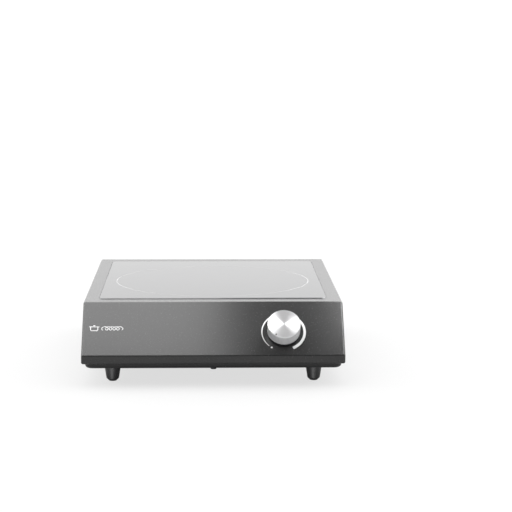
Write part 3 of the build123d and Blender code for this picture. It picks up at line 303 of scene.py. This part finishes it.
def litz_wire():
    """Copper strands twisted together under clear enamel, with painted shade in the valleys between them."""
    g = Graph("copper_litz_wire")
    from_axis = g.vector("SUBTRACT", g.coords, tuple(zone_at))
    split = g.node("ShaderNodeSeparateXYZ", Vector=from_axis)
    angle = g.math("ARCTAN2", split.outputs["Y"], split.outputs["X"])
    radius = g.vector("LENGTH", g.vector("MULTIPLY", from_axis, (1, 1, 0)))
    arc = g.math("MULTIPLY", angle, radius)
    slant = g.math("ADD", arc, g.math("MULTIPLY", radius, 1.4))
    strand = g.math("SINE", g.math("MULTIPLY", slant, 2 * math.pi / (1.1 * mm)))
    strand = g.remap(strand, -1, 1, 0, 1)
    tint = g.blend(g.noise(4 * mm), (0.58, 0.22, 0.08), (0.80, 0.36, 0.15))
    # painted shade: the valleys between the strands are darkened toward a deep copper
    tint = g.blend(g.math("MULTIPLY", g.math("SUBTRACT", 1.0, strand), 0.6), tint, (0.16, 0.05, 0.02))
    g.surface(Base_Color=tint, Metallic=1.0, Roughness=0.3, Coat_Weight=0.5, Coat_Roughness=0.15)
    g.bump(strand, 0.12 * mm)
    return g.material


def enamelled_winding():
    """Closely wound enamelled copper."""
    g = Graph("enamelled_copper_winding")
    fine = g.noise(0.35 * mm, detail=2, stretch=(1, 1, 4))
    tint = g.blend(fine, (0.38, 0.12, 0.04), (0.75, 0.33, 0.12))
    g.surface(Base_Color=tint, Metallic=1.0, Roughness=0.34, Coat_Weight=0.4)
    g.bump(fine, 0.08 * mm)
    return g.material


def circuit_board():
    """Green solder mask over copper tracks, with tinned pads."""
    g = Graph("circuit_board")
    tracks = g.node(
        "ShaderNodeTexBrick",
        {"offset": 0.35},
        Vector=g.coords,
        Scale=1 / (16 * mm),
        Mortar_Size=0.06,
        Mortar_Smooth=0.2,
        Brick_Width=0.9,
        Row_Height=0.22,
    )
    pads = g.remap(g.cells(5.5 * mm), 0.13, 0.16, 1, 0)
    mask = g.blend(g.noise(0.02), (0.010, 0.085, 0.035), (0.014, 0.115, 0.045))
    mask = g.blend(g.math("MULTIPLY", tracks.outputs["Fac"], 0.55), mask, (0.030, 0.20, 0.075))
    g.surface(
        Base_Color=g.blend(pads, mask, (0.66, 0.64, 0.58)),
        Metallic=pads,
        Roughness=g.remap(pads, 0, 1, 0.3, 0.4),
        Coat_Weight=0.3,
    )
    g.bump(g.math("ADD", tracks.outputs["Fac"], pads), 0.04 * mm)
    return g.material


def ferrite():
    """Sintered dark grey ferrite."""
    g = Graph("sintered_ferrite")
    speck = g.cells(0.7 * mm)
    g.surface(
        Base_Color=g.blend(speck, (0.045, 0.043, 0.042), (0.09, 0.088, 0.085)),
        Roughness=g.remap(g.noise(2 * mm), 0.3, 0.7, 0.45, 0.7),
    )
    g.bump(speck, 0.05 * mm)
    return g.material


def fibre_felt():
    """White ceramic fibre felt with loose, lying fibres."""
    g = Graph("ceramic_fibre_felt")
    long_way = g.noise(0.8 * mm, detail=5, stretch=(1, 0.15, 1))
    cross_way = g.noise(0.8 * mm, detail=5, stretch=(0.15, 1, 1))
    fibre = g.math("MAXIMUM", long_way, cross_way)
    g.surface(
        Base_Color=g.blend(fibre, (0.62, 0.60, 0.55), (0.86, 0.85, 0.82)), Roughness=0.95, Sheen_Weight=0.3
    )
    g.bump(fibre, 0.25 * mm)
    return g.material


def sleeved_leads(name, dark, light):
    """Braided silicone-glass sleeving on wires."""
    g = Graph(name)
    braid = g.node("ShaderNodeTexChecker", Vector=g.coords, Scale=1 / (0.7 * mm)).outputs["Fac"]
    fine = g.noise(0.5 * mm)
    g.surface(Base_Color=g.blend(g.math("MULTIPLY", braid, 0.35), light, dark), Roughness=0.6)
    g.bump(g.math("ADD", braid, fine), 0.05 * mm)
    return g.material


def capacitor_case():
    """Yellow moulded capacitor and transformer cases, a little shiny."""
    return moulded("yellow_component_case", (0.52, 0.40, 0.04), (0.70, 0.56, 0.08), 0.35, relief=0.015 * mm)


# ---------------------------------------------------------------- which node wears which finish
def dress(material, *names):
    """Gives a CAD node's every slot the material."""
    for name in names:
        slots = nodes[name].data.materials
        slots.clear()
        slots.append(material)


def dress_all():
    zinc = metal("zinc_plated_steel", (0.46, 0.46, 0.44), (0.70, 0.70, 0.66), 0.34, stretch=(1, 1, 0.4))
    mill = metal("mill_aluminium", (0.58, 0.58, 0.59), (0.76, 0.76, 0.77), 0.38, stretch=(1, 0.1, 1))
    black = moulded("black_nylon", (0.010, 0.010, 0.011), (0.022, 0.022, 0.023), 0.52)
    black_zinc = metal("black_zinc_steel", (0.035, 0.035, 0.038), (0.08, 0.08, 0.085), 0.36)
    dress(powder_coat("casing_powder_coat", 1.0, 1.52), "upper_casing")
    # the tray wears the casing's coat at half the base colour: painted shade, as the tray lies in the
    # casing's shadow
    dress(powder_coat("tray_powder_coat_painted_shade", 0.5, 1.44), "base_tray")
    dress(black_glass(), "glass_plate")
    dress(rubber("grey_silicone", (0.10, 0.10, 0.10), (0.14, 0.14, 0.14)), "glass_seal")
    dress(rubber("foot_rubber", (0.013, 0.013, 0.014), (0.026, 0.026, 0.027), 0.4), *feet)
    dress(spun_aluminium(), "knob_cap")
    dress(black, "knob_insert", "fan_frame", "fan_rotor", "air_guide", "potentiometer_body", "cable_tie")
    dress(zinc, "tray_standoffs", "foot_studs", "foot_nuts", "fan_nuts", "coil_posts", "board_posts")
    dress(zinc, "control_posts", "bushing_nut", "board_screws", "control_screws", "transistor_screws")
    dress(black_zinc, "tray_screws", "fan_screws", "coil_post_screws")
    dress(mill, "coil_plate", "heat_sink")
    turned = metal("turned_steel", (0.42, 0.42, 0.43), (0.62, 0.62, 0.62), 0.28)
    dress(turned, "fan_shaft", "potentiometer_shaft")
    dress(metal("spring_steel", (0.30, 0.30, 0.31), (0.55, 0.55, 0.55), 0.3), "coil_springs", "sensor_spring")
    bronze = metal("sintered_bronze", (0.34, 0.20, 0.09), (0.60, 0.40, 0.20), 0.42, relief=0.03 * mm)
    dress(bronze, "fan_bearing")
    dress(metal("brass_terminal", (0.60, 0.42, 0.16), (0.80, 0.62, 0.30), 0.28), "coil_terminals")
    dress(metal("nickel_plate", (0.58, 0.57, 0.54), (0.74, 0.73, 0.70), 0.2), "plug_pins")
    dress(litz_wire(), "coil_winding")
    dress(enamelled_winding(), "fan_stator", "mains_choke")
    dress(circuit_board(), "power_board", "control_board")
    dress(ferrite(), "ferrite_bars", "fan_magnet")
    dress(fibre_felt(), "insulation_felt")
    dress(moulded("glass_filled_carrier", (0.36, 0.31, 0.22), (0.48, 0.43, 0.32), 0.6), "coil_carrier")
    dress(moulded("grey_terminal_plastic", (0.50, 0.50, 0.48), (0.62, 0.62, 0.60), 0.45), "terminal_block")
    dress(moulded("sensor_ceramic", (0.70, 0.69, 0.65), (0.82, 0.81, 0.78), 0.4), "temperature_sensor")
    dress(moulded("epoxy_package", (0.014, 0.014, 0.014), (0.03, 0.03, 0.03), 0.4), "power_transistors")
    dress(moulded("epoxy_bridge", (0.016, 0.016, 0.016), (0.034, 0.034, 0.034), 0.38), "bridge_rectifier")
    dress(moulded("can_sleeve", (0.012, 0.022, 0.07), (0.02, 0.034, 0.10), 0.28), "electrolytic_capacitors")
    dress(capacitor_case(), "film_capacitors", "auxiliary_transformer")
    dress(sleeved_leads("coil_lead_sleeve", (0.45, 0.42, 0.36), (0.75, 0.72, 0.66)), "coil_leads")
    dress(sleeved_leads("mains_lead_sleeve", (0.12, 0.05, 0.02), (0.24, 0.10, 0.04)), "mains_leads")
    dress(rubber("grey_cable_sheath", (0.22, 0.22, 0.22), (0.30, 0.30, 0.30)), "control_cable")
    dress(rubber("cord_rubber", (0.011,) * 3, (0.020,) * 3, 0.48), "power_cord", "cord_grip")
    dress(moulded("plug_vinyl", (0.012, 0.012, 0.012), (0.022, 0.022, 0.022), 0.42), "plug_body")


dress_all()

# ---------------------------------------------------------------- printed marks
print_proud = 0.05 * mm
print_sunk = 0.02 * mm


def printed(name, strips, place, body, material):
    """One flat printed piece. Each strip is (left points, right points, closed) in the surface's plane."""
    mesh = bpy.data.meshes.new(name)
    made = bmesh.new()
    for left, right, closed in strips:
        rows = [
            [made.verts.new(place @ Vector((*p, z))) for p in line]
            for line in (left, right)
            for z in (print_proud, -print_sunk)
        ]
        left_top, left_low, right_top, right_low = rows
        loop = (left_top, right_top, right_low, left_low)
        count = len(left)
        for i in range(count if closed else count - 1):
            j = (i + 1) % count
            for a, b in zip(loop, (*loop[1:], left_top)):
                made.faces.new((a[i], b[i], b[j], a[j]))
        if not closed:
            for i in (0, count - 1):
                made.faces.new([line[i] for line in loop])
    bmesh.ops.remove_doubles(made, verts=made.verts, dist=0.001 * mm)
    bmesh.ops.recalc_face_normals(made, faces=made.faces)
    made.to_mesh(mesh)
    made.free()
    piece = bpy.data.objects.new(name, mesh)
    bpy.context.scene.collection.objects.link(piece)
    piece.data.materials.append(material)
    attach(piece, body)
    return piece


def circle(centre, radius, start=0.0, sweep=360.0, count=96):
    """Points on an arc, angles in degrees from local x."""
    steps = count if abs(sweep) >= 360 else count - 1
    angles = [math.radians(start + sweep * i / steps) for i in range(count)]
    return [(centre[0] + radius * math.cos(a), centre[1] + radius * math.sin(a)) for a in angles]


def ring(centre, inner, outer, count=96):
    """The strip between two circles."""
    return (circle(centre, outer, count=count), circle(centre, inner, count=count), True)


def stroke(points, width):
    """A line of even width through the points."""
    left, right = [], []
    for i, p in enumerate(points):
        before, after = points[max(i - 1, 0)], points[min(i + 1, len(points) - 1)]
        along = Vector((after[0] - before[0], after[1] - before[1])).normalized()
        side = Vector((-along.y, along.x)) * (width / 2)
        left.append((p[0] + side.x, p[1] + side.y))
        right.append((p[0] - side.x, p[1] - side.y))
    return (left, right, False)


enamel = enamel_print("light_enamel_print", 0.64, 0.76)
zone_ring_r, zone_line = 130 * mm, 0.8 * mm
printed(
    "cooking_zone_ring",
    [ring((0, 0), zone_ring_r - zone_line, zone_ring_r, 240)],
    glass_top,
    "hob",
    enamel_print("grey_glass_print", 0.26, 0.34),
)

# power scale: a dot at the off position, then an arc that widens clockwise
scale_r, scale_thin, scale_growth = 27.8 * mm, 0.8 * mm, 3.0 * mm
off_angle, dot_r, dot_at_r = 235.8, 1.25 * mm, 27.4 * mm
knob_turn_angle, gap_after_dot, arc_points = 300.6, 8, 140
arc_start, arc_end = off_angle - gap_after_dot, off_angle - knob_turn_angle


def power_scale():
    """The arc beside the knob, even on its outside and growing thicker inwards."""
    outer, inner = [], []
    for i in range(arc_points):
        share = i / (arc_points - 1)
        angle = math.radians(arc_start + (arc_end - arc_start) * share)
        for line, radius in ((outer, scale_r), (inner, scale_r - scale_thin - scale_growth * share)):
            line.append((radius * math.cos(angle), radius * math.sin(angle)))
    return (outer, inner, False)


dot_centre = circle((0, 0), dot_at_r, off_angle, 1.0, 2)[0]
printed("power_scale_arc", [power_scale()], panel, "hob", enamel)
printed("power_scale_dot", [ring(dot_centre, 0.0, dot_r, 40)], panel, "hob", enamel)

# a plain pot-and-coil pictogram stands where the front mark is
mark_left, mark_up = casing_left + 9 * mm, 2.6 * mm
icon_line, pot_w, pot_h, pot_corner = 0.95 * mm, 9.0 * mm, 5.6 * mm, 1 * mm
handle_l, lid_knob_w, lid_knob_h = 1.6 * mm, 2.4 * mm, 1.2 * mm
coil_line, coil_gap, coil_up, coil_loops = 0.76 * mm, 6.5 * mm, 0.8 * mm, 5
loop_pitch, loop_r, loop_half_w, loop_points = 4.6 * mm, 2.5 * mm, 2.75 * mm, 24


def front_mark():
    """A lidded pot, and beside it the looped line that stands for an induction coil."""
    left, low = mark_left - knob_at.x + handle_l, mark_up
    right, rim = left + pot_w, low + pot_h
    middle, lid = (left + right) / 2, rim + pot_corner
    side_foot = [(left, low + pot_corner), (left + pot_corner, low)]
    pot = [(left, rim), *side_foot, (right - pot_corner, low), (right, low + pot_corner), (right, rim)]
    strips = [
        stroke(pot, icon_line),
        stroke([(left - handle_l, rim), (right + handle_l, rim)], icon_line),
        stroke([(middle, lid), (middle, lid + lid_knob_h)], lid_knob_w),
    ]
    coil = []
    for i in range(coil_loops * loop_points + 1):
        turn = 2 * math.pi * i / loop_points
        along = loop_pitch * i / loop_points - loop_half_w * math.sin(turn)
        coil.append((right + coil_gap + along, low + coil_up + loop_r * (1 - math.cos(turn))))
    strips.append(stroke(coil, coil_line))
    return strips


printed("front_pictogram", front_mark(), panel, "hob", enamel)

# paint in the pointer groove of the knob's face
groove_depth, pointer_r, pointer_l, pointer_w = 0.4 * mm, 18.4 * mm, 2.3 * mm, 1.3 * mm
face_high = max((panel.inverted() @ v.co).z for v in nodes["knob_cap"].data.vertices)
pointer_floor = panel @ Matrix.Translation((0, 0, face_high - groove_depth))
pointer_line = [circle((0, 0), pointer_r + d, off_angle, 1.0, 2)[0] for d in (-pointer_l / 2, pointer_l / 2)]
printed(
    "knob_pointer_paint",
    [stroke(pointer_line, pointer_w)],
    pointer_floor,
    "power_knob",
    pointer_paint(),
)

# ---------------------------------------------------------------- floor, light and camera
floor_half, floor_grey, floor_glow = 30.0, 0.72, 0.7
camera_at = Vector((-0.0107, -2.221, table_z + 0.456))
camera_lens, camera_sensor = 116.55, 36
look_right, look_down, camera_roll = 1.79, 8.24, 0.17


def studio_floor():
    """A pale seamless floor. Seen directly it also glows, so that shadows on it stay light; in what the
    object mirrors it is a plain grey ground."""
    g = Graph("pale_floor")
    grain = g.noise(0.4, detail=2)
    tint = g.blend(grain, (0.84, 0.84, 0.84), (0.86, 0.86, 0.86))
    seen = g.node("ShaderNodeLightPath").outputs["Is Camera Ray"]
    g.surface(Base_Color=g.blend(seen, (floor_grey,) * 3, tint), Roughness=0.9, Specular_IOR_Level=0.0)
    glow = g.node("ShaderNodeEmission", Strength=1.0)
    mixed = g.node("ShaderNodeMixShader", Fac=g.math("MULTIPLY", seen, floor_glow))
    g.tree.links.new(g.shader.outputs["BSDF"], mixed.inputs[1])
    g.tree.links.new(glow.outputs["Emission"], mixed.inputs[2])
    g.tree.links.new(mixed.outputs["Shader"], g.tree.nodes["Material Output"].inputs["Surface"])
    mesh = bpy.data.meshes.new("floor")
    corners = [(floor_half * x, floor_half * y, table_z) for x, y in ((-1, -1), (1, -1), (1, 1), (-1, 1))]
    mesh.from_pydata(corners, [], [(0, 1, 2, 3)])
    floor = bpy.data.objects.new("floor", mesh)
    bpy.context.scene.collection.objects.link(floor)
    mesh.materials.append(g.material)
    return floor


def studio_sky():
    """Bright behind the object, dimmer behind the camera and dark overhead, as in a white cove."""
    world = bpy.data.worlds.new("studio")
    bpy.context.scene.world = world
    world.use_nodes = True
    tree = world.node_tree
    coords = tree.nodes.new("ShaderNodeTexCoord")
    split = tree.nodes.new("ShaderNodeSeparateXYZ")
    tree.links.new(coords.outputs["Generated"], split.inputs[0])

    def fade(axis, low, high, low_value, high_value):
        made = tree.nodes.new("ShaderNodeMapRange")
        made.interpolation_type = "SMOOTHSTEP"
        tree.links.new(split.outputs[axis], made.inputs["Value"])
        numbers = {"From Min": low, "From Max": high, "To Min": low_value, "To Max": high_value}
        for name, number in numbers.items():
            made.inputs[name].default_value = number
        return made.outputs["Result"]

    strength = tree.nodes.new("ShaderNodeMath")
    strength.operation = "MULTIPLY"
    tree.links.new(fade("Z", 0.3, 0.75, 1.0, 0.05), strength.inputs[0])
    tree.links.new(fade("Y", -0.6, 0.5, 0.28, 1.5), strength.inputs[1])
    tree.links.new(strength.outputs[0], tree.nodes["Background"].inputs["Strength"])
    tree.nodes["Background"].inputs["Color"].default_value = (1, 1, 1, 1)


def light_only(holder, pieces, state="INCLUDE"):
    """Makes a lamp light only these pieces or, with the state EXCLUDE, all pieces but these."""
    group = bpy.data.collections.new(holder.name + "_pieces")
    for piece in pieces:
        group.objects.link(piece)
    for entry in group.collection_objects:
        entry.light_linking.link_state = state
    holder.light_linking.receiver_collection = group


def soft_sun(name, toward, spread, strength, pieces):
    """A soft sun in the given direction that lights only these pieces. One from below passes the floor,
    because only the pieces themselves can shade it."""
    lamp = bpy.data.lights.new(name, "SUN")
    lamp.energy = strength
    lamp.angle = math.radians(spread)
    holder = bpy.data.objects.new(name, lamp)
    holder.rotation_euler = Vector(toward).to_track_quat("Z", "Y").to_euler()
    bpy.context.scene.collection.objects.link(holder)
    light_only(holder, pieces)
    if toward[2] < 0:
        holder.light_linking.blocker_collection = holder.light_linking.receiver_collection


def softbox(name, centre, size, height, radiance, turn=0.0):
    """An oblong lamp facing straight down, height above the table; its power follows from its radiance."""
    lamp = bpy.data.lights.new(name, "AREA")
    lamp.shape = "RECTANGLE"
    lamp.size, lamp.size_y = size
    lamp.energy = radiance * math.pi * lamp.size * lamp.size_y
    holder = bpy.data.objects.new(name, lamp)
    holder.location = (*centre, table_z + height)
    holder.rotation_euler.z = math.radians(turn)
    holder.visible_camera = False
    bpy.context.scene.collection.objects.link(holder)
    return holder


def studio_camera():
    """The photograph's view: far away, a little above the panel and nearly square on."""
    lens = bpy.data.cameras.new("camera")
    lens.sensor_width = camera_sensor
    lens.lens = camera_lens
    lens.clip_end = 100
    camera = bpy.data.objects.new("camera", lens)
    camera.location = camera_at
    yaw = Euler((0, 0, math.radians(-look_right))).to_matrix()
    pitch = Euler((math.radians(90 - look_down), 0, 0)).to_matrix()
    roll = Euler((0, 0, math.radians(camera_roll))).to_matrix()
    camera.rotation_euler = (yaw @ pitch @ roll).to_euler()
    bpy.context.scene.collection.objects.link(camera)
    bpy.context.scene.camera = camera


floor = [studio_floor()]
knob = [nodes["knob_cap"]]
studio_sky()
soft_sun("floor_fill", (-0.02, 0.22, 0.98), 120, 3.3, floor)

# two boxes overhead light the casing, and the dark gap between them shows on the panel beside the knob
key_left = softbox("key_left", (-0.489, -0.02), (1.022, 0.78), 0.55, 4.85)
fill_right = softbox("fill_right", (0.3825, 0.05), (0.345, 0.70), 0.5, 12.0)
for lamp in (key_left, fill_right):
    light_only(lamp, knob + floor, "EXCLUDE")

# the knob's turned face mirrors a box with a corner near the camera's mirrored view, under a dim ceiling
knob_key = softbox("knob_key", (-0.4645, -0.136), (0.874, 0.838), 0.55, 5.87, turn=18.5)
knob_sky = softbox("knob_sky", (0.0, 0.0), (3.0, 3.0), 1.3, 0.49)
for lamp in (knob_key, knob_sky):
    light_only(lamp, knob)

# light from a bright table in front, on the knob's lower wall and the feet
soft_sun("knob_glow", (0.05, -0.3, -0.95), 100, 4.5, knob)
soft_sun("feet_glow", (-0.19, -0.9, -0.4), 30, 2.2, [nodes[name] for name in feet])
studio_camera()
bpy.context.scene.view_settings.view_transform = "Standard"
